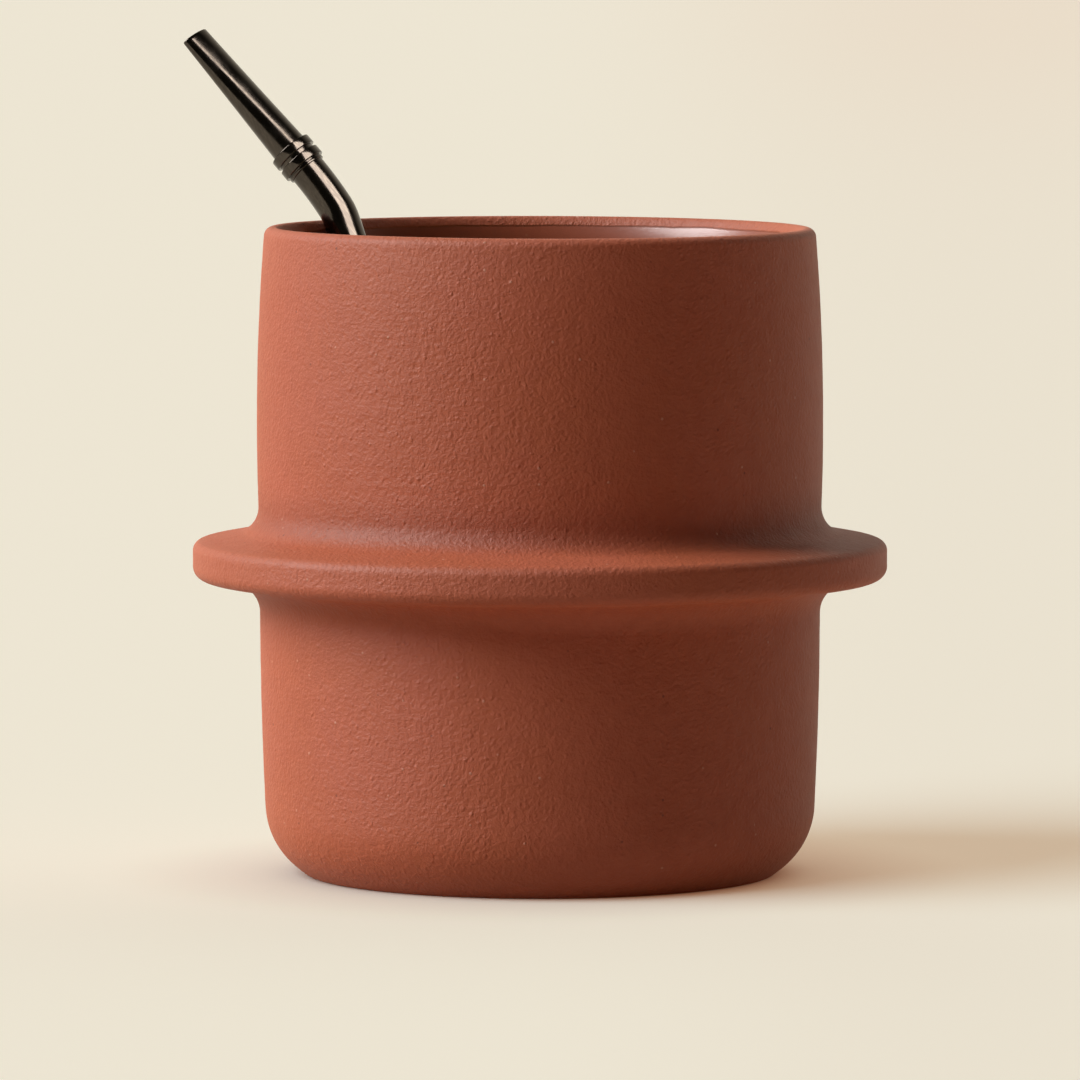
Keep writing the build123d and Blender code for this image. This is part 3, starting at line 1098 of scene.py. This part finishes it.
def floor_material():
    """Pale cream paper, from which the cup gets a warmer and dimmer light."""
    material, net = start_material("cream_paper")
    rays = net.add("ShaderNodeLightPath")
    seen = rays + rays.out("Is Glossy Ray") + rays.out("Is Transmission Ray")
    paper = net.add("ShaderNodeBsdfDiffuse", {}, {"Color": PAPER})
    dim = net.add("ShaderNodeBsdfDiffuse", {}, {"Color": PAPER_BOUNCE})
    # the glow stands for the room's light: it fades, and turns to the clay's red, by the cup
    open_sky = net.add(
        "ShaderNodeAmbientOcclusion", {"samples": 12}, {"Distance": CONTACT_REACH}
    ).out("AO")
    # towards the right it dims a little, and far back there it turns warmer
    parts = net.split(net.place())
    depth = (parts.out("Y") + CAMERA_BACK).larger(0.4)
    right = net.step(parts / depth, -0.005, 0.05)
    warm = right * net.step(parts.out("Y"), 0.5, 6.0)
    glow_colour = net.add(
        "ShaderNodeCombineColor",
        {},
        {
            "Red": open_sky**0.55 * (0.507 - right * 0.022),
            "Green": open_sky**0.88 * (0.378 - right * 0.027 - warm * 0.035),
            "Blue": open_sky**1.05 * (0.257 - right * 0.022 - warm * 0.04),
        },
    )
    glow = net.add("ShaderNodeEmission", {}, {"Color": glow_colour})
    shown = net.add("ShaderNodeAddShader", {}, {0: paper, 1: glow})
    both = net.add("ShaderNodeMixShader", {}, {0: seen, 1: dim, 2: shown})
    net.add("ShaderNodeOutputMaterial", {}, {"Surface": both})
    return material


floor = make_piece(
    "table_top",
    [
        (x * FLOOR_REACH, y * FLOOR_REACH, -FLOOR_DROP)
        for x, y in ((-1, -1), (1, -1), (1, 1), (-1, 1))
    ],
    (),
    [(0, 1, 2, 3)],
)
floor.data.materials.append(floor_material())

world = bpy.data.worlds.new("studio")
bpy.context.scene.world = world
world.use_nodes = True
net = Net(world.node_tree)
rays = net.add("ShaderNodeLightPath")
way = net.split(net.add("ShaderNodeTexCoord"))
behind = net.step(way.out("Y") * 0.97 + way * 0.25, 0.1, 0.9)
felt = net.blend(behind, ROOM_TINT, WALL_TINT)
mirrored = net.blend(behind, ROOM_MIRRORED, CREAM)
tone = net.blend(rays.out("Is Glossy Ray"), felt, mirrored)
tone = net.blend(rays, tone, CREAM)
sky = net.add("ShaderNodeBackground", {}, {"Color": tone, "Strength": 1.0})
net.add("ShaderNodeOutputWorld", {}, {"Surface": sky})


def toward(azimuth, elevation):
    """A direction: azimuth 0 is towards the camera, and positive is to its right."""
    a, e = math.radians(azimuth), math.radians(elevation)
    return Vector((math.sin(a) * math.cos(e), -math.cos(a) * math.cos(e), math.sin(e)))


def add_lamp(name, kind, azimuth, elevation, distance, energy, tint=(1.0, 1.0, 1.0)):
    """A lamp that looks at the middle of the cup."""
    data = bpy.data.lights.new(name, kind)
    data.energy = energy
    data.color = tint
    lamp = bpy.data.objects.new(name, data)
    bpy.context.scene.collection.objects.link(lamp)
    way = toward(azimuth, elevation)
    lamp.location = way * distance + Vector((0, 0, CUP_HIGH.z / 2))
    lamp.rotation_euler = way.to_track_quat("Z", "Y").to_euler()
    lamp.visible_camera = False
    return lamp


def link_light(lamp, name, pieces, state="INCLUDE"):
    """Gives a lamp's light to some pieces only, or to all but them."""
    group = bpy.data.collections.new(name)
    for piece in pieces:
        group.objects.link(piece)
    for link in group.collection_objects:
        link.light_linking.link_state = state
    lamp.light_linking.receiver_collection = group


key = add_lamp("key", "SUN", azimuth=-82, elevation=34, distance=2.0, energy=4.32)
key.data.angle = KEY_SIZE
link_light(key, "all_but_table", [floor], "EXCLUDE")
# the table has its own lamp, turned further to the front, so that the shadow falls back
table_key = add_lamp("table_key", "SUN", azimuth=-65, elevation=36, distance=2.0, energy=2.47)
table_key.data.angle = TABLE_KEY_SIZE
link_light(table_key, "table_only", [floor])

# the long highlight on the metal
strip = add_lamp(
    "strip", "AREA", azimuth=38, elevation=38, distance=1.2, energy=22.0, tint=(1.0, 0.94, 0.88)
)
strip.data.shape = "RECTANGLE"
strip.data.size = 0.9
strip.data.size_y = 0.8
strip.visible_diffuse = False
link_light(strip, "straw_only", [tube, collar, mouthpiece])

camera_data = bpy.data.cameras.new("camera")
camera_data.sensor_width = 36.0
camera_data.lens = CAMERA_LENS
camera_data.clip_start = 0.05
camera_data.clip_end = 60.0
camera = bpy.data.objects.new("camera", camera_data)
bpy.context.scene.collection.objects.link(camera)
camera.location = (0.0, -CAMERA_BACK, CAMERA_HEIGHT)
camera.rotation_euler = (math.radians(90 - CAMERA_DIP), 0.0, 0.0)
bpy.context.scene.camera = camera
bpy.context.scene.view_settings.view_transform = "Standard"
